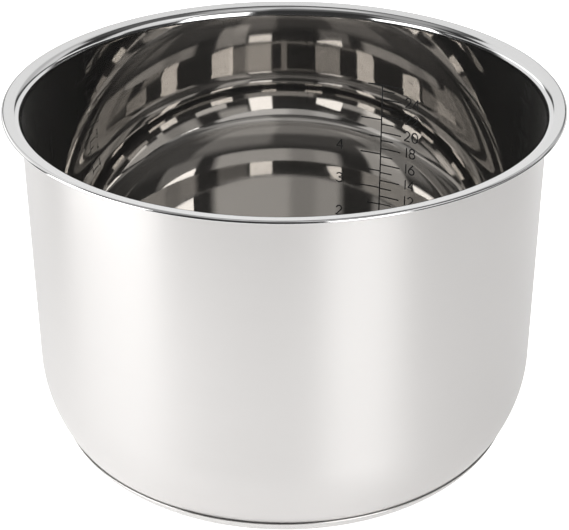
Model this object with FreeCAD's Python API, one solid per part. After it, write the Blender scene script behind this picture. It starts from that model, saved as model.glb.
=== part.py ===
"""Inner cooking pot of an eight-quart electric pressure cooker.

Three pieces, all bodies of revolution about +Z: a deep-drawn stainless shell with a flared and
hemmed lip, an aluminium disc that spreads heat under its floor, and a stainless cap that encloses
the disc. Millimetres; the origin is the centre of the face that the pot stands on.
"""

import math
import os

import FreeCAD
import Part

# Shell
POT_HEIGHT = 176.8  # standing face to the top of the lip
BODY_DIAMETER = 248.6  # outside of the straight wall
SHELL_SHEET = 0.7
WALL_FOOT_HEIGHT = 45.0  # where the straight wall gives way to the lower curve
LOWER_CURVE_RADIUS = 65.0  # outside of the long curve below the wall
KNUCKLE_RADIUS = 11.4  # outside of the tight curve into the floor

# Lip
LIP_OVERHANG = 8.7  # straight wall to the hemmed edge
LIP_BEND_RADIUS = 4.8  # top face of the bend from wall to lip
LIP_RISE = 11.0  # degrees that the lip climbs towards its edge
HEM_RETURN = 3.5  # length of the edge folded back under the lip
HEM_GAP = 0.2  # between the lip and the folded edge
HEM_CORNER_RADIUS = 0.4  # lower side of the folded edge, pressed tighter than the upper side

# Base
CORE_THICKNESS = 5.0
CORE_UPSET = 1.8  # height that pressing drives the core's rim up round the shell
CAP_SHEET = 0.6
CAP_HEIGHT = 11.0  # standing face to the cap's upper edge
CAP_EDGE_RADIUS = 17.0  # outside of the cap's rounded edge
SEAM_GAP = 0.35  # between the cap's upper edge and the shell
CORE_CLEARANCE = 0.3  # round the core's rim, inside the cap and under the shell

# Levels and radii that follow from the sizes above
FLOOR_UNDERSIDE = CAP_SHEET + CORE_THICKNESS
BODY_RADIUS = BODY_DIAMETER / 2
HEM_THICKNESS = 2 * SHELL_SHEET + HEM_GAP


def line(start, end):
    """Straight edge between two (radius, height) points."""
    return Part.LineSegment(FreeCAD.Vector(start[0], 0, start[1]),
                            FreeCAD.Vector(end[0], 0, end[1])).toShape()


def on_arc(centre, radius, degrees):
    """The (radius, height) point at an angle on a circle, measured from outward towards up."""
    angle = math.radians(degrees)
    return centre[0] + radius * math.cos(angle), centre[1] + radius * math.sin(angle)


def arc(centre, radius, first, last):
    """Circular edge from one angle to another."""
    points = [on_arc(centre, radius, degrees) for degrees in (first, (first + last) / 2, last)]
    return Part.Arc(*[FreeCAD.Vector(r, 0, z) for r, z in points]).toShape()


def outline(*steps):
    """Closed outline through points and edges, with straight edges wherever two do not meet."""
    edges = []
    ends = []
    for step in steps:
        if isinstance(step, tuple):
            ends.append((step, step))
        else:
            first, last = step.firstVertex(True).Point, step.lastVertex(True).Point
            ends.append(((first.x, first.z), (last.x, last.z)))
    for index, step in enumerate(steps):
        if not isinstance(step, tuple):
            edges.append(step)
        here, there = ends[index][1], ends[(index + 1) % len(steps)][0]
        if math.dist(here, there) > Part.Precision.confusion():
            edges.append(line(here, there))
    return edges


def turned(*steps):
    """Solid made by turning a closed outline once round the pot's axis."""
    face = Part.Face(Part.Wire(Part.__sortEdges__(outline(*steps))))
    return face.revolve(FreeCAD.Vector(0, 0, 0), FreeCAD.Vector(0, 0, 1), 360)


# Lower part of the shell: the knuckle touches both the floor's underside and the lower curve
lower_centre = (BODY_RADIUS - LOWER_CURVE_RADIUS, WALL_FOOT_HEIGHT)
knuckle_height = FLOOR_UNDERSIDE + KNUCKLE_RADIUS
centre_distance = LOWER_CURVE_RADIUS - KNUCKLE_RADIUS
knuckle_reach = math.sqrt(centre_distance ** 2 - (WALL_FOOT_HEIGHT - knuckle_height) ** 2)
knuckle_centre = (lower_centre[0] + knuckle_reach, knuckle_height)
blend_angle = math.degrees(math.asin((knuckle_height - WALL_FOOT_HEIGHT) / centre_distance))

# Lip: its top face is tangent to the bend and to the hem's upper round, which meets a tighter lower one
bend_radius_inside = LIP_BEND_RADIUS - SHELL_SHEET
lip_normal = 90 + LIP_RISE
rise = math.radians(LIP_RISE)
hem_radius = HEM_THICKNESS - HEM_CORNER_RADIUS
hem_step = hem_radius - HEM_CORNER_RADIUS
hem_centre = (BODY_RADIUS + LIP_OVERHANG - HEM_CORNER_RADIUS - hem_step * math.cos(rise),
              POT_HEIGHT - hem_radius)
bend_centre_radius = BODY_RADIUS - SHELL_SHEET + LIP_BEND_RADIUS
bend_drop = (LIP_BEND_RADIUS - hem_radius
             + (hem_centre[0] - bend_centre_radius) * math.sin(rise)) / math.cos(rise)
bend_centre = (bend_centre_radius, hem_centre[1] - bend_drop)


def from_hem(out, up):
    """The (radius, height) point at distances along the lip and square to it from the hem's centre."""
    return (hem_centre[0] + out * math.cos(rise) - up * math.sin(rise),
            hem_centre[1] + out * math.sin(rise) + up * math.cos(rise))


gap_level = hem_radius - SHELL_SHEET - HEM_GAP / 2
gap_reach = math.sqrt(hem_radius ** 2 - gap_level ** 2) - SHELL_SHEET - HEM_GAP / 2
gap_end = from_hem(gap_reach, gap_level)
corner_centre = from_hem(hem_step, 0)
tail_middle = from_hem(gap_reach - HEM_RETURN, SHELL_SHEET / 2 - HEM_CORNER_RADIUS)


def shell_outside(height, offset):
    """Radius at a height of the shell's lower outside, pushed outwards by an offset."""
    centre, radius = lower_centre, LOWER_CURVE_RADIUS + offset
    if height < on_arc(lower_centre, radius, blend_angle)[1]:
        centre, radius = knuckle_centre, KNUCKLE_RADIUS + offset
    return centre[0] + math.sqrt(radius ** 2 - (height - centre[1]) ** 2)


# Cap: the round on its upper edge leaves a groove beside the shell
cap_round = CAP_SHEET / 2
cap_top = CAP_HEIGHT - cap_round
cap_middle_radius = CAP_EDGE_RADIUS - cap_round
cap_turn = math.degrees(math.asin((cap_top - CAP_EDGE_RADIUS) / cap_middle_radius))
cap_round_centre = (shell_outside(cap_top, cap_round + SEAM_GAP), cap_top)
standing_radius = cap_round_centre[0] - cap_middle_radius * math.cos(math.radians(cap_turn))
cap_centre = (standing_radius, CAP_EDGE_RADIUS)

# Core: its rim fills the space between the cap's edge and the shell's knuckle
core_rim_height = FLOOR_UNDERSIDE + CORE_UPSET
core_outer_centre = (cap_centre[0] - CORE_CLEARANCE, CAP_EDGE_RADIUS)
core_outer_radius = CAP_EDGE_RADIUS - CAP_SHEET
core_outer_turn = math.degrees(math.asin((core_rim_height - CAP_EDGE_RADIUS) / core_outer_radius))
core_inner_centre = (knuckle_centre[0] + CORE_CLEARANCE, knuckle_height)
core_inner_turn = math.degrees(math.asin((core_rim_height - knuckle_height) / KNUCKLE_RADIUS))

pieces = {
    "pot_shell": turned(
        # Outside, from the floor to the wall
        (0.0, FLOOR_UNDERSIDE),
        arc(knuckle_centre, KNUCKLE_RADIUS, -90, blend_angle),
        arc(lower_centre, LOWER_CURVE_RADIUS, blend_angle, 0),
        # Under the lip and round the hem
        arc(bend_centre, bend_radius_inside, 180, lip_normal),
        arc(gap_end, HEM_GAP / 2, lip_normal, lip_normal - 180),
        arc(tail_middle, SHELL_SHEET / 2, lip_normal, lip_normal + 180),
        arc(corner_centre, HEM_CORNER_RADIUS, LIP_RISE - 90, LIP_RISE),
        arc(hem_centre, hem_radius, LIP_RISE, lip_normal),
        # Inside, from the lip to the floor
        arc(bend_centre, LIP_BEND_RADIUS, lip_normal, 180),
        arc(lower_centre, LOWER_CURVE_RADIUS - SHELL_SHEET, 0, blend_angle),
        arc(knuckle_centre, KNUCKLE_RADIUS - SHELL_SHEET, blend_angle, -90),
        (0.0, FLOOR_UNDERSIDE + SHELL_SHEET),
    ),
    "heat_spreader": turned(
        (0.0, CAP_SHEET),
        arc(core_outer_centre, core_outer_radius, -90, core_outer_turn),
        arc(core_inner_centre, KNUCKLE_RADIUS, core_inner_turn, -90),
        (0.0, FLOOR_UNDERSIDE),
    ),
    "base_cap": turned(
        (0.0, 0.0),
        arc(cap_centre, CAP_EDGE_RADIUS, -90, cap_turn),
        arc(cap_round_centre, cap_round, cap_turn, cap_turn + 180),
        arc(cap_centre, CAP_EDGE_RADIUS - CAP_SHEET, cap_turn, -90),
        (0.0, CAP_SHEET),
    ),
}

os.makedirs("parts", exist_ok=True)
for name, solid in pieces.items():
    solid.exportStep(f"parts/{name}.step")
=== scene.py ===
"""Looks for the inner pot of an electric pressure cooker: finishes, level scale, studio and camera.

Lengths named *_MM are millimetres; every other length is in metres, as in the frame. Azimuths are degrees
from +Y, behind the pot, towards +X; the camera is at 180.
"""

import math

import bmesh
import bpy
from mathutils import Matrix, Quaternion, Vector


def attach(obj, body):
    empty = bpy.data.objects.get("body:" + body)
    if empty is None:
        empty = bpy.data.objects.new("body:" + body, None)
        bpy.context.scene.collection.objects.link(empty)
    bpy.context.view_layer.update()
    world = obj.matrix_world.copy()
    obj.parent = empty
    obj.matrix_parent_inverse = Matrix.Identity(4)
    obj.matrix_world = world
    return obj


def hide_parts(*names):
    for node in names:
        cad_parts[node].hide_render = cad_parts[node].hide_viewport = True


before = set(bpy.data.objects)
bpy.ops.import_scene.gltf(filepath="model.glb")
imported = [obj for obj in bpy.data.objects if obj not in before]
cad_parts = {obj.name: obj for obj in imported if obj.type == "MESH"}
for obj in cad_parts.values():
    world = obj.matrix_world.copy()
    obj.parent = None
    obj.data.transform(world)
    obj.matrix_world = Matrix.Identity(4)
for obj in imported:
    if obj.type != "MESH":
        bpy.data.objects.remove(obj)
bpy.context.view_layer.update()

MM = 0.001

# Shell, as in the solids
POT_HEIGHT_MM = 176.8
BODY_RADIUS_MM = 124.3
SHELL_SHEET_MM = 0.7
WALL_FOOT_MM = 45.0
LOWER_CURVE_MM = 65.0
KNUCKLE_MM = 11.4
LIP_OVERHANG_MM = 8.7
LIP_BEND_MM = 4.8
LIP_RISE = 11.0
HEM_RETURN_MM = 3.5
HEM_GAP_MM = 0.2
HEM_CORNER_MM = 0.4
FLOOR_UNDERSIDE_MM = 5.6

# Cap, as in the solids
CAP_SHEET_MM = 0.6
CAP_HEIGHT_MM = 11.0
CAP_EDGE_MM = 17.0
SEAM_GAP_MM = 0.35

# How finely the turned pieces are divided, round the axis and along straight runs
SECTORS = 8
SECTOR_STEPS = 36
WALL_RINGS = 12
FLOOR_RINGS = 10
LIP_RINGS = 3
SUPPORT_RING_MM = 0.4
SUPPORT_RING_SHARE = 0.2
MERGE_MM = 0.004

# Steps along each arc of an outline
OUTER_KNUCKLE_STEPS = 14
OUTER_CURVE_STEPS = 26
UNDER_BEND_STEPS = 12
HEM_GAP_STEPS = 6
HEM_TAIL_STEPS = 8
HEM_CORNER_STEPS = 10
HEM_ROUND_STEPS = 20
LIP_BEND_STEPS = 24
INNER_CURVE_STEPS = 30
INNER_KNUCKLE_STEPS = 24
CAP_EDGE_STEPS = 30
CAP_ROUND_STEPS = 12
CAP_INSIDE_STEPS = 24

# Level scale
SCALE_AZIMUTH = 26.1
SCALE_LIFT_MM = 0.03
STROKE_MM = 0.74
STROKE_FLATTENING = 0.05
STROKE_SIDE_STEPS = 1
STROKE_CURVE_STEPS = 5
STROKE_MERGE_MM = 1e-4
STROKE_SPAN_MM = 2.0
STROKE_CUTS = 8
CUP_ZERO_MM = 7.95
CUP_PITCH_MM = 4.971
FIRST_CUP = 4
LAST_CUP = 25
LITRE_ZERO_MM = 9.98
LITRE_PITCH_MM = 20.99
LAST_LITRE = 4
FILL_LIMIT_MM = 135.6
SCALE_FOOT_MM = 26.0
LONG_TICK_MM = 12.2
SHORT_TICK_MM = 7.3
LIMIT_LEFT_MM = 8.5
LIMIT_RIGHT_MM = 12.6
NUMBER_HEIGHT_MM = 5.8
CUP_NUMBER_MM = 14.2
CUP_NUMBER_LIFT_MM = 1.0
LITRE_NUMBER_MM = -26.1
LITRE_NUMBER_LIFT_MM = 2.6
DIGIT_WIDTH = 0.62
DIGIT_ADVANCE = 0.85
NARROW_ADVANCE = 0.62

# Finishes; the noise of the turned lines lies mostly between low and high
QUARTER_TURN = 0.25
HAZE_ROUGHNESS = 0.5
LINES_LOW = 0.3
LINES_HIGH = 0.7
WHITE = (1, 1, 1, 1)

# Camera, fitted to the photograph's outlines
CAMERA_AT = (0, -0.67391, 0.45568)
CAMERA_AIM = (0, 0, 0.08381)
CAMERA_LENS = 96.6
CAMERA_SENSOR = 36
CAMERA_ROLL = -0.0023

# Table; its glow carries painted shade close to the pot, growing from near to far, and painted light leaning
# to its bright side at the front left, and is raised to white for the camera
TABLE_RADIUS = 0.8
TABLE_SEGMENTS = 96
TABLE_DROP = 0.0002
TABLE_SHADE = 0.85
TABLE_ROUGHNESS = 0.8
TABLE_PAINTED_SHADE_FROM = 0.13
TABLE_PAINTED_SHADE_TO = 0.5
TABLE_GLOW_IN_PAINTED_SHADE = 0.42
TABLE_GLOW_PAST_PAINTED_SHADE = 0.65
TABLE_PAINTED_LIGHT_LEAN = 0.1
TABLE_PAINTED_LIGHT_SIDE = (-0.35, -0.94, 0)
TABLE_GLOW_SEEN = 0.7

# Lights; the one on the left stands close enough to be a lamp, the others are panels in the world
SOFTBOX_RADIANCE = 3.5
LEFT_SOFTBOX_AT = (-0.38, -0.2, 0.27)
LEFT_SOFTBOX_FACING = (1, 0, 0)
LEFT_SOFTBOX_WIDTH = 0.33
LEFT_SOFTBOX_HEIGHT = 0.3
SLOT_BOTTOM = 17.5
SLOT_TOP = 23.5
ROOM_RADIANCE = 0.045
# Each panel has its edges and the softness of them in degrees, in this order, and then its radiance
PANEL_INPUTS = ("Left", "Right", "Bottom", "Top", "Softness Across", "Softness Up")
SKY_PANELS = (
    # Pale sweep behind the pot, with a slot through it and a bar across the slot's middle
    (-68, -23, -90, 46, 12, 3, 0.97),
    (-23, 54, -90, SLOT_BOTTOM, 12, 3, 0.97),
    (-23, 5, SLOT_TOP, 46, 12, 3, 0.95),
    (5, 30, SLOT_TOP, 46, 12, 3, 0.6),
    (30, 54, SLOT_TOP, 46, 12, 3, 0.8),
    (-5, 5, SLOT_BOTTOM, SLOT_TOP, 3, 3, 0.95),
    # Strip lights at the height of the slot
    (-99, -63, SLOT_BOTTOM, SLOT_TOP, 3, 3, 0.9),
    (-63, -23, SLOT_BOTTOM, SLOT_TOP, 3, 3, 1.2),
    (56, 100, SLOT_BOTTOM, SLOT_TOP, 3, 3, 1.4),
    # Softbox on the right and panels above both softboxes
    (132, 163, -2, 40, 4, 4, SOFTBOX_RADIANCE),
    (86, 128, 26, 61, 8, 8, 0.9),
    (-130, -88, 33, 52, 8, 8, 0.4),
    # Ceiling
    (-200, 200, 52, 95, 14, 14, 0.1),
    (-105, -15, 54, 95, 14, 14, 0.33),
    (108, 168, 48, 95, 12, 12, 0.35),
    (-200, 200, 72, 95, 8, 8, 0.4),
)


# Outlines and turning
def on_arc(centre, radius, degrees):
    """The (radius, height) point at an angle on a circle, measured from outward towards up."""
    angle = math.radians(degrees)
    return centre[0] + radius * math.cos(angle), centre[1] + radius * math.sin(angle)


def arc(centre, radius, first, last, steps):
    """Points along a circular run of an outline."""
    return [on_arc(centre, radius, first + (last - first) * i / steps) for i in range(steps + 1)]


def run(start, end, rings):
    """Points along a straight run, with a support ring close to each end."""
    near = min(SUPPORT_RING_MM / math.dist(start, end), SUPPORT_RING_SHARE)
    shares = [0.0, near] + [near + (1 - 2 * near) * i / rings for i in range(1, rings)] + [1 - near, 1.0]
    return [(start[0] + (end[0] - start[0]) * s, start[1] + (end[1] - start[1]) * s) for s in shares]


def add_piece(name, mesh):
    """Object for a finished mesh, riding on the pot; its finishes are the mesh's own materials."""
    piece = bpy.data.objects.new(name, mesh)
    bpy.context.collection.objects.link(piece)
    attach(piece, "root")
    return piece


def turned(name, runs):
    """Mesh made by spinning runs of (radius, height) points in millimetres, each with its material."""
    mesh = bpy.data.meshes.new(name)
    bm = bmesh.new()
    for index, (points, material) in enumerate(runs):
        mesh.materials.append(material)
        before = set(bm.faces)
        verts = [bm.verts.new((r * MM, 0, z * MM)) for r, z in points]
        edges = [bm.edges.new(pair) for pair in zip(verts, verts[1:])]
        bmesh.ops.spin(bm, geom=verts + edges, axis=(0, 0, 1), cent=(0, 0, 0), dvec=(0, 0, 0),
                       angle=math.tau / SECTORS, steps=SECTOR_STEPS, use_merge=False, use_duplicate=False)
        for face in set(bm.faces) - before:
            face.material_index = index
            face.smooth = True
    bmesh.ops.spin(bm, geom=bm.verts[:] + bm.edges[:] + bm.faces[:], axis=(0, 0, 1), cent=(0, 0, 0),
                   dvec=(0, 0, 0), angle=math.tau * (SECTORS - 1) / SECTORS, steps=SECTORS - 1,
                   use_merge=False, use_duplicate=True)
    bmesh.ops.remove_doubles(bm, verts=bm.verts, dist=MERGE_MM * MM)
    bmesh.ops.recalc_face_normals(bm, faces=bm.faces)
    bm.to_mesh(mesh)
    bm.free()
    return mesh


# Materials
def new_material(name):
    """Node material with a Principled shader; returns the material, its tree and the shader."""
    material = bpy.data.materials.new(name)
    material.use_nodes = True
    tree = material.node_tree
    return material, tree, tree.nodes["Principled BSDF"]


def node(tree, kind, inputs=None, **settings):
    """Adds a node, sets its properties, and fills or links its inputs by name or number."""
    made = tree.nodes.new(kind)
    for key, value in settings.items():
        setattr(made, key, value)
    for key, value in (inputs or {}).items():
        if isinstance(value, bpy.types.NodeSocket):
            tree.links.new(value, made.inputs[key])
        else:
            made.inputs[key].default_value = value
    return made


def math_node(tree, operation, *values):
    """Output of a Math node that is fed with numbers or sockets."""
    return node(tree, "ShaderNodeMath", dict(enumerate(values)), operation=operation).outputs[0]


def vector_node(tree, operation, inputs, output=0):
    """Output of a Vector Math node."""
    return node(tree, "ShaderNodeVectorMath", inputs, operation=operation).outputs[output]


def turned_lines_group():
    """Shared effect: fine lines that a wheel leaves round the pot's axis, and cloudiness."""
    group = bpy.data.node_groups.new("turned_lines", "ShaderNodeTree")
    for label, value in (("Lines Across", 900.0), ("Wander Around", 2.0), ("Cloud Size", 18.0)):
        socket = group.interface.new_socket(label, in_out="INPUT", socket_type="NodeSocketFloat")
        socket.default_value = value
    for label in ("Lines", "Clouds"):
        group.interface.new_socket(label, in_out="OUTPUT", socket_type="NodeSocketFloat")
    taken = group.nodes.new("NodeGroupInput").outputs
    given = group.nodes.new("NodeGroupOutput")
    place = node(group, "ShaderNodeTexCoord").outputs["Object"]
    xyz = node(group, "ShaderNodeSeparateXYZ", {0: place}).outputs
    flat = node(group, "ShaderNodeCombineXYZ", {"X": xyz["X"], "Y": xyz["Y"]}).outputs[0]
    radius = vector_node(group, "LENGTH", {0: flat}, "Value")
    outward = vector_node(group, "NORMALIZE", {0: flat})
    around = vector_node(group, "SCALE", {0: outward, "Scale": taken["Wander Around"]})
    up = math_node(group, "MULTIPLY", xyz["Z"], taken["Lines Across"])
    out = math_node(group, "MULTIPLY", radius, taken["Lines Across"])
    lift = node(group, "ShaderNodeCombineXYZ", {"Z": up}).outputs[0]
    vector = vector_node(group, "ADD", {0: around, 1: lift})
    lines = node(group, "ShaderNodeTexNoise", {"Vector": vector, "W": out, "Scale": 1.0, "Detail": 3.0,
                                               "Roughness": 0.65}, noise_dimensions="4D")
    group.links.new(lines.outputs["Fac"], given.inputs["Lines"])
    clouds = node(group, "ShaderNodeTexNoise", {"Vector": place, "Scale": taken["Cloud Size"], "Detail": 2.0})
    group.links.new(clouds.outputs["Fac"], given.inputs["Clouds"])
    return group


turned_lines = turned_lines_group()


def steel(name, bright, dull, gloss, haze, across, around, clouds, relief, anisotropy):
    """Stainless finish worked round the axis: fine lines in gloss and relief, cloudy tint and a thin haze."""
    material, tree, shader = new_material(name)
    marks = node(tree, "ShaderNodeGroup", {}, node_tree=turned_lines)
    marks.inputs["Lines Across"].default_value = across
    marks.inputs["Wander Around"].default_value = around
    marks.inputs["Cloud Size"].default_value = clouds
    lines = marks.outputs["Lines"]
    rough = node(tree, "ShaderNodeMapRange", {"Value": lines, "From Min": LINES_LOW, "From Max": LINES_HIGH,
                                              "To Min": gloss[0], "To Max": gloss[1]})
    tint = node(tree, "ShaderNodeMix", {"Factor": marks.outputs["Clouds"], "A": (*dull, 1),
                                        "B": (*bright, 1)}, data_type="RGBA")
    bump = node(tree, "ShaderNodeBump", {"Height": lines, "Strength": 1.0, "Distance": relief})
    tangent = node(tree, "ShaderNodeTangent", {}, direction_type="RADIAL", axis="Z")
    shader.inputs["Metallic"].default_value = 1.0
    shader.inputs["Anisotropic"].default_value = anisotropy
    shader.inputs["Anisotropic Rotation"].default_value = QUARTER_TURN
    shader.inputs["Coat Weight"].default_value = haze
    shader.inputs["Coat Roughness"].default_value = HAZE_ROUGHNESS
    tree.links.new(tint.outputs["Result"], shader.inputs["Base Color"])
    tree.links.new(rough.outputs["Result"], shader.inputs["Roughness"])
    tree.links.new(bump.outputs["Normal"], shader.inputs["Normal"])
    tree.links.new(tangent.outputs["Tangent"], shader.inputs["Tangent"])
    return material


polished_inside = steel("polished_inside", (0.66, 0.645, 0.625), (0.63, 0.615, 0.597), gloss=(0.01, 0.035),
                        haze=0.6, across=900, around=2.0, clouds=18, relief=8e-8, anisotropy=0.5)
satin_outside = steel("satin_outside", (0.71, 0.694, 0.682), (0.69, 0.674, 0.662), gloss=(0.33, 0.37),
                      haze=0.1, across=1800, around=3.0, clouds=14, relief=3e-7, anisotropy=0.8)
polished_lip = steel("polished_lip", (0.695, 0.693, 0.691), (0.675, 0.673, 0.671), gloss=(0.07, 0.12),
                     haze=0.05, across=1200, around=2.0, clouds=20, relief=3e-7, anisotropy=0.4)
brushed_cap = steel("brushed_cap", (0.70, 0.688, 0.676), (0.67, 0.658, 0.646), gloss=(0.21, 0.27),
                    haze=0.1, across=1100, around=2.0, clouds=16, relief=9e-7, anisotropy=0.85)


def aluminium_core():
    """Rolled aluminium of the disc inside the base."""
    material, tree, shader = new_material("rolled_aluminium")
    marks = node(tree, "ShaderNodeGroup", {}, node_tree=turned_lines)
    clouds = marks.outputs["Clouds"]
    gloss = node(tree, "ShaderNodeMapRange", {"Value": clouds, "To Min": 0.38, "To Max": 0.55})
    tint = node(tree, "ShaderNodeMix", {"Factor": clouds, "A": (0.74, 0.75, 0.76, 1),
                                        "B": (0.82, 0.83, 0.84, 1)}, data_type="RGBA")
    shader.inputs["Metallic"].default_value = 1.0
    tree.links.new(tint.outputs["Result"], shader.inputs["Base Color"])
    tree.links.new(gloss.outputs["Result"], shader.inputs["Roughness"])
    return material


def etched_mark():
    """Dark oxide that electro-etching leaves in the steel."""
    material, tree, shader = new_material("etched_mark")
    place = node(tree, "ShaderNodeTexCoord").outputs["Object"]
    grain = node(tree, "ShaderNodeTexNoise", {"Vector": place, "Scale": 2500.0, "Detail": 2.0})
    tint = node(tree, "ShaderNodeMix", {"Factor": grain.outputs["Fac"], "A": (0.02, 0.02, 0.021, 1),
                                        "B": (0.07, 0.07, 0.072, 1)}, data_type="RGBA")
    shader.inputs["Metallic"].default_value = 0.3
    shader.inputs["Roughness"].default_value = 0.55
    tree.links.new(tint.outputs["Result"], shader.inputs["Base Color"])
    return material


# Shell outline: the knuckle touches the floor and the lower curve, the lip touches the bend and the hem
inner_radius = BODY_RADIUS_MM - SHELL_SHEET_MM
floor_top = FLOOR_UNDERSIDE_MM + SHELL_SHEET_MM
lower_centre = (BODY_RADIUS_MM - LOWER_CURVE_MM, WALL_FOOT_MM)
knuckle_height = FLOOR_UNDERSIDE_MM + KNUCKLE_MM
centre_distance = LOWER_CURVE_MM - KNUCKLE_MM
knuckle_reach = math.sqrt(centre_distance ** 2 - (WALL_FOOT_MM - knuckle_height) ** 2)
knuckle_centre = (lower_centre[0] + knuckle_reach, knuckle_height)
blend_angle = math.degrees(math.asin((knuckle_height - WALL_FOOT_MM) / centre_distance))
lip_normal = 90 + LIP_RISE
rise = math.radians(LIP_RISE)
hem_radius = 2 * SHELL_SHEET_MM + HEM_GAP_MM - HEM_CORNER_MM
hem_step = hem_radius - HEM_CORNER_MM
hem_centre = (BODY_RADIUS_MM + LIP_OVERHANG_MM - HEM_CORNER_MM - hem_step * math.cos(rise),
              POT_HEIGHT_MM - hem_radius)
bend_radius = inner_radius + LIP_BEND_MM
bend_drop = (LIP_BEND_MM - hem_radius + (hem_centre[0] - bend_radius) * math.sin(rise)) / math.cos(rise)
bend_centre = (bend_radius, hem_centre[1] - bend_drop)


def from_hem(out, up):
    """The (radius, height) point at distances along the lip and square to it from the hem's centre."""
    return (hem_centre[0] + out * math.cos(rise) - up * math.sin(rise),
            hem_centre[1] + out * math.sin(rise) + up * math.cos(rise))


def drawn_shell():
    """The deep-drawn pot: satin outside, polished lip and polished inside, closed into one skin."""
    gap_level = hem_radius - SHELL_SHEET_MM - HEM_GAP_MM / 2
    gap_reach = math.sqrt(hem_radius ** 2 - gap_level ** 2) - SHELL_SHEET_MM - HEM_GAP_MM / 2
    gap_end = from_hem(gap_reach, gap_level)
    tail_middle = from_hem(gap_reach - HEM_RETURN_MM, SHELL_SHEET_MM / 2 - HEM_CORNER_MM)
    corner_centre = from_hem(hem_step, 0)
    outside = (run((0, FLOOR_UNDERSIDE_MM), (knuckle_centre[0], FLOOR_UNDERSIDE_MM), FLOOR_RINGS)[:-1]
               + arc(knuckle_centre, KNUCKLE_MM, -90, blend_angle, OUTER_KNUCKLE_STEPS)[:-1]
               + arc(lower_centre, LOWER_CURVE_MM, blend_angle, 0, OUTER_CURVE_STEPS)[:-1]
               + run((BODY_RADIUS_MM, WALL_FOOT_MM), (BODY_RADIUS_MM, bend_centre[1]), WALL_RINGS)[:-1]
               + arc(bend_centre, LIP_BEND_MM - SHELL_SHEET_MM, 180, lip_normal, UNDER_BEND_STEPS)
               + arc(gap_end, HEM_GAP_MM / 2, lip_normal, lip_normal - 180, HEM_GAP_STEPS)
               + arc(tail_middle, SHELL_SHEET_MM / 2, lip_normal, lip_normal + 180, HEM_TAIL_STEPS)
               + [on_arc(corner_centre, HEM_CORNER_MM, LIP_RISE - 90)])
    lip_outer = on_arc(hem_centre, hem_radius, lip_normal)
    lip_inner = on_arc(bend_centre, LIP_BEND_MM, lip_normal)
    lip = (arc(corner_centre, HEM_CORNER_MM, LIP_RISE - 90, LIP_RISE, HEM_CORNER_STEPS)[:-1]
           + arc(hem_centre, hem_radius, LIP_RISE, lip_normal, HEM_ROUND_STEPS)[:-1]
           + run(lip_outer, lip_inner, LIP_RINGS)[:-1]
           + arc(bend_centre, LIP_BEND_MM, lip_normal, 180, LIP_BEND_STEPS))
    inside = (run((inner_radius, bend_centre[1]), (inner_radius, WALL_FOOT_MM), WALL_RINGS)[:-1]
              + arc(lower_centre, LOWER_CURVE_MM - SHELL_SHEET_MM, 0, blend_angle, INNER_CURVE_STEPS)[:-1]
              + arc(knuckle_centre, KNUCKLE_MM - SHELL_SHEET_MM, blend_angle, -90, INNER_KNUCKLE_STEPS)[:-1]
              + run((knuckle_centre[0], floor_top), (0, floor_top), FLOOR_RINGS))
    mesh = turned("drawn_shell", [(outside, satin_outside), (lip, polished_lip), (inside, polished_inside)])
    piece = add_piece("drawn_shell", mesh)
    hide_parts("pot_shell")


def shell_outside(height, offset):
    """Radius at a height of the shell's lower outside, pushed outwards by an offset."""
    centre, radius = lower_centre, LOWER_CURVE_MM + offset
    if height < on_arc(lower_centre, radius, blend_angle)[1]:
        centre, radius = knuckle_centre, KNUCKLE_MM + offset
    return centre[0] + math.sqrt(radius ** 2 - (height - centre[1]) ** 2)


def spun_cap():
    """The cap that encloses the disc, with a round upper edge beside the shell."""
    edge_round = CAP_SHEET_MM / 2
    top = CAP_HEIGHT_MM - edge_round
    middle = CAP_EDGE_MM - edge_round
    turn = math.degrees(math.asin((top - CAP_EDGE_MM) / middle))
    round_centre = (shell_outside(top, edge_round + SEAM_GAP_MM), top)
    centre = (round_centre[0] - middle * math.cos(math.radians(turn)), CAP_EDGE_MM)
    skin = (run((0, 0), (centre[0], 0), FLOOR_RINGS)[:-1]
            + arc(centre, CAP_EDGE_MM, -90, turn, CAP_EDGE_STEPS)[:-1]
            + arc(round_centre, edge_round, turn, turn + 180, CAP_ROUND_STEPS)[:-1]
            + arc(centre, CAP_EDGE_MM - CAP_SHEET_MM, turn, -90, CAP_INSIDE_STEPS)[:-1]
            + run((centre[0], CAP_SHEET_MM), (0, CAP_SHEET_MM), FLOOR_RINGS))
    piece = add_piece("spun_cap", turned("spun_cap", [(skin, brushed_cap)]))
    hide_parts("base_cap")


# Level scale: strokes drawn flat, then laid on the inside of the wall; digits fill a square of side one
LOOP = "loop"
CURVED = "curved"
STRAIGHT = "straight"
DIGITS = {
    "0": [(LOOP, [(0.5, 1), (1, 0.5), (0.5, 0), (0, 0.5)])],
    "1": [(STRAIGHT, [(0.5, 0), (0.5, 1)])],
    "2": [(CURVED, [(0.04, 0.76), (0.5, 1), (0.94, 0.74), (0.62, 0.38), (0, 0)]),
          (STRAIGHT, [(0, 0), (1, 0)])],
    "3": [(CURVED, [(0.06, 0.86), (0.5, 1), (0.92, 0.77), (0.42, 0.54)]),
          (CURVED, [(0.42, 0.54), (1, 0.27), (0.5, 0), (0, 0.15)])],
    "4": [(STRAIGHT, [(0.76, 0), (0.76, 1)]),
          (STRAIGHT, [(0.76, 1), (0, 0.3)]),
          (STRAIGHT, [(0, 0.3), (1, 0.3)])],
    "6": [(CURVED, [(0.8, 1), (0.24, 0.64), (0, 0.3)]),
          (LOOP, [(0.5, 0.6), (1, 0.3), (0.5, 0), (0, 0.3)])],
    "8": [(LOOP, [(0.5, 1), (0.9, 0.77), (0.5, 0.54), (0.1, 0.77)]),
          (LOOP, [(0.5, 0.54), (1, 0.27), (0.5, 0), (0, 0.27)])],
}


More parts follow.
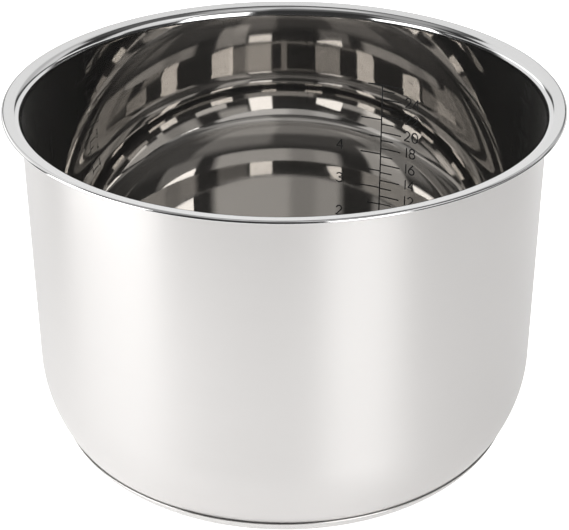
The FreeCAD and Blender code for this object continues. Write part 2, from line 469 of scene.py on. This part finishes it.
def add_stroke(curve, kind, points):
    """Adds one stroke to a flat curve."""
    spline = curve.splines.new("BEZIER")
    spline.bezier_points.add(len(points) - 1)
    for knot, (x, y) in zip(spline.bezier_points, points):
        knot.co = (x, y, 0)
        knot.handle_left_type = knot.handle_right_type = "VECTOR" if kind == STRAIGHT else "AUTO"
    spline.use_cyclic_u = kind == LOOP


def add_tick(curve, left, right, height):
    """Adds a level stroke from one distance beside the stem to another."""
    add_stroke(curve, STRAIGHT, [(left, height), (right, height)])


def add_number(curve, number, left, middle):
    """Adds a number's strokes with its left edge and middle height in millimetres."""
    for digit in str(number):
        for kind, points in DIGITS[digit]:
            add_stroke(curve, kind, [(left + x * DIGIT_WIDTH * NUMBER_HEIGHT_MM,
                                      middle + (y - 0.5) * NUMBER_HEIGHT_MM) for x, y in points])
        left += NUMBER_HEIGHT_MM * (NARROW_ADVANCE if digit == "1" else DIGIT_ADVANCE)


def draw_levels(curve):
    """Stem, fill limit, litres on the left of the stem and cups on its right; even cups have numbers."""
    add_stroke(curve, STRAIGHT, [(0, SCALE_FOOT_MM), (0, FILL_LIMIT_MM)])
    add_tick(curve, -LIMIT_LEFT_MM, LIMIT_RIGHT_MM, FILL_LIMIT_MM)
    for cup in range(FIRST_CUP, LAST_CUP + 1):
        height = CUP_ZERO_MM + cup * CUP_PITCH_MM
        if cup % 2:
            add_tick(curve, 0, SHORT_TICK_MM, height)
        else:
            add_tick(curve, 0, LONG_TICK_MM, height)
            add_number(curve, cup, CUP_NUMBER_MM, height + CUP_NUMBER_LIFT_MM)
    for litre in range(1, LAST_LITRE + 1):
        height = LITRE_ZERO_MM + litre * LITRE_PITCH_MM
        add_tick(curve, -LONG_TICK_MM, 0, height)
        add_tick(curve, -SHORT_TICK_MM, 0, height + LITRE_PITCH_MM / 2)
        add_number(curve, litre, LITRE_NUMBER_MM, height + LITRE_NUMBER_LIFT_MM)
    add_tick(curve, -LONG_TICK_MM, 0, LITRE_ZERO_MM + (LAST_LITRE + 1) * LITRE_PITCH_MM)


def level_scale():
    """Etched strokes wrapped round the inside of the wall."""
    curve = bpy.data.curves.new("level_strokes", "CURVE")
    curve.dimensions = "3D"
    curve.bevel_depth = STROKE_MM / 2
    curve.bevel_resolution = STROKE_SIDE_STEPS
    curve.resolution_u = STROKE_CURVE_STEPS
    curve.use_fill_caps = True
    draw_levels(curve)
    drawn = bpy.data.objects.new("level_strokes", curve)
    mesh = bpy.data.meshes.new_from_object(drawn)
    bpy.data.objects.remove(drawn)
    bm = bmesh.new()
    bm.from_mesh(mesh)
    bmesh.ops.remove_doubles(bm, verts=bm.verts, dist=STROKE_MERGE_MM)
    long_edges = [edge for edge in bm.edges if edge.calc_length() > STROKE_SPAN_MM]
    bmesh.ops.subdivide_edges(bm, edges=long_edges, cuts=STROKE_CUTS, use_grid_fill=True)
    for vert in bm.verts:
        across, up, out = vert.co
        azimuth = math.radians(SCALE_AZIMUTH) + across / inner_radius
        wall = shell_outside(min(up, WALL_FOOT_MM), -SHELL_SHEET_MM)
        radius = wall - SCALE_LIFT_MM - out * STROKE_FLATTENING
        vert.co = Vector((radius * math.sin(azimuth), radius * math.cos(azimuth), up)) * MM
    bmesh.ops.recalc_face_normals(bm, faces=bm.faces)
    bm.to_mesh(mesh)
    bm.free()
    mesh.materials.clear()
    mesh.materials.append(etched_mark())
    add_piece("level_scale", mesh)


drawn_shell()
spun_cap()
level_scale()
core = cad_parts["heat_spreader"]
core.data.materials.clear()
core.data.materials.append(aluminium_core())


# Studio
def white_table():
    """Pale round table whose glow has painted light in front of the pot and painted shade close to it; the
    camera sees it white.
    """
    mesh = bpy.data.meshes.new("studio_table")
    bm = bmesh.new()
    bmesh.ops.create_circle(bm, cap_ends=True, segments=TABLE_SEGMENTS, radius=TABLE_RADIUS)
    bmesh.ops.translate(bm, verts=bm.verts, vec=(0, 0, -TABLE_DROP))
    bm.to_mesh(mesh)
    bm.free()
    material, tree, shader = new_material("white_table")
    shader.inputs["Base Color"].default_value = (TABLE_SHADE, TABLE_SHADE, TABLE_SHADE, 1)
    shader.inputs["Roughness"].default_value = TABLE_ROUGHNESS
    shader.inputs["Emission Color"].default_value = WHITE
    place = node(tree, "ShaderNodeTexCoord").outputs["Object"]
    # Painted shade: the glow is lower close to the pot and grows from near to far
    reach = vector_node(tree, "LENGTH", {0: place}, "Value")
    painted_shade_ramp = node(tree, "ShaderNodeMapRange", {"Value": reach, "From Min": TABLE_PAINTED_SHADE_FROM, "From Max": TABLE_PAINTED_SHADE_TO,
                                               "To Min": TABLE_GLOW_IN_PAINTED_SHADE, "To Max": TABLE_GLOW_PAST_PAINTED_SHADE})
    # Painted light: the glow leans brighter towards the front left of the pot
    outward = vector_node(tree, "NORMALIZE", {0: place})
    towards = vector_node(tree, "DOT_PRODUCT", {0: outward, 1: TABLE_PAINTED_LIGHT_SIDE}, "Value")
    glow_with_painted_light = math_node(tree, "MULTIPLY_ADD", towards, TABLE_PAINTED_LIGHT_LEAN, painted_shade_ramp.outputs["Result"])
    seen = node(tree, "ShaderNodeLightPath").outputs["Is Camera Ray"]
    glow_with_painted_light = math_node(tree, "MULTIPLY_ADD", seen, TABLE_GLOW_SEEN, glow_with_painted_light)
    tree.links.new(glow_with_painted_light, shader.inputs["Emission Strength"])
    mesh.materials.append(material)
    table = bpy.data.objects.new("studio_table", mesh)
    bpy.context.collection.objects.link(table)


def softbox(name, place, facing, width, height, radiance):
    """Rectangular light at a place, facing along a direction."""
    light = bpy.data.lights.new(name, "AREA")
    light.shape = "RECTANGLE"
    light.size = width
    light.size_y = height
    light.energy = radiance * math.pi * width * height
    lamp = bpy.data.objects.new(name, light)
    bpy.context.collection.objects.link(lamp)
    lamp.location = place
    lamp.rotation_mode = "QUATERNION"
    lamp.rotation_quaternion = Vector(facing).to_track_quat("-Z", "Y")
    lamp.visible_camera = False


def sky_panel_group():
    """Mask of a soft-edged panel in the world, with its edges in degrees of azimuth and elevation."""
    group = bpy.data.node_groups.new("sky_panel", "ShaderNodeTree")
    for label in ("Azimuth", "Elevation", *PANEL_INPUTS):
        group.interface.new_socket(label, in_out="INPUT", socket_type="NodeSocketFloat")
    group.interface.new_socket("Mask", in_out="OUTPUT", socket_type="NodeSocketFloat")
    taken = group.nodes.new("NodeGroupInput").outputs
    mask = 1.0
    for angle, low, high, soft in (("Azimuth", "Left", "Right", "Softness Across"),
                                   ("Elevation", "Bottom", "Top", "Softness Up")):
        for first, second in ((angle, low), (high, angle)):
            past = math_node(group, "SUBTRACT", taken[first], taken[second])
            share = math_node(group, "DIVIDE", past, taken[soft])
            edge = node(group, "ShaderNodeMapRange", {"Value": share, "From Min": -0.5, "From Max": 0.5},
                        interpolation_type="SMOOTHSTEP")
            mask = math_node(group, "MULTIPLY", mask, edge.outputs["Result"])
    given = group.nodes.new("NodeGroupOutput")
    group.links.new(mask, given.inputs["Mask"])
    return group


def studio_world():
    """Dim room with pale panels round the pot; the camera itself sees plain white."""
    world = bpy.data.worlds.new("studio")
    bpy.context.scene.world = world
    world.use_nodes = True
    tree = world.node_tree
    background = tree.nodes["Background"]
    direction = node(tree, "ShaderNodeTexCoord").outputs["Generated"]
    xyz = node(tree, "ShaderNodeSeparateXYZ", {0: direction}).outputs
    azimuth = math_node(tree, "DEGREES", math_node(tree, "ARCTAN2", xyz["X"], xyz["Y"]))
    elevation = math_node(tree, "DEGREES", math_node(tree, "ARCSINE", xyz["Z"]))
    panel_group = sky_panel_group()
    light = ROOM_RADIANCE
    for *edges, radiance in SKY_PANELS:
        panel = node(tree, "ShaderNodeGroup", {"Azimuth": azimuth, "Elevation": elevation},
                     node_tree=panel_group)
        for label, value in zip(PANEL_INPUTS, edges):
            panel.inputs[label].default_value = value
        light = math_node(tree, "MULTIPLY_ADD", panel.outputs["Mask"], radiance, light)
    seen = node(tree, "ShaderNodeLightPath").outputs["Is Camera Ray"]
    shown = node(tree, "ShaderNodeMix", {"Factor": seen, "A": light, "B": 1.0}).outputs["Result"]
    tree.links.new(shown, background.inputs["Strength"])
    background.inputs["Color"].default_value = WHITE


def add_camera():
    """Camera at the photograph's place."""
    data = bpy.data.cameras.new("camera")
    data.lens = CAMERA_LENS
    data.sensor_width = CAMERA_SENSOR
    camera = bpy.data.objects.new("camera", data)
    bpy.context.collection.objects.link(camera)
    camera.location = CAMERA_AT
    camera.rotation_mode = "QUATERNION"
    gaze = Vector(CAMERA_AIM) - Vector(CAMERA_AT)
    camera.rotation_quaternion = gaze.to_track_quat("-Z", "Y") @ Quaternion((0, 0, 1), CAMERA_ROLL)
    bpy.context.scene.camera = camera


white_table()
softbox("left_softbox", LEFT_SOFTBOX_AT, LEFT_SOFTBOX_FACING, LEFT_SOFTBOX_WIDTH, LEFT_SOFTBOX_HEIGHT,
        SOFTBOX_RADIANCE)
studio_world()
add_camera()
bpy.context.scene.view_settings.view_transform = "Standard"
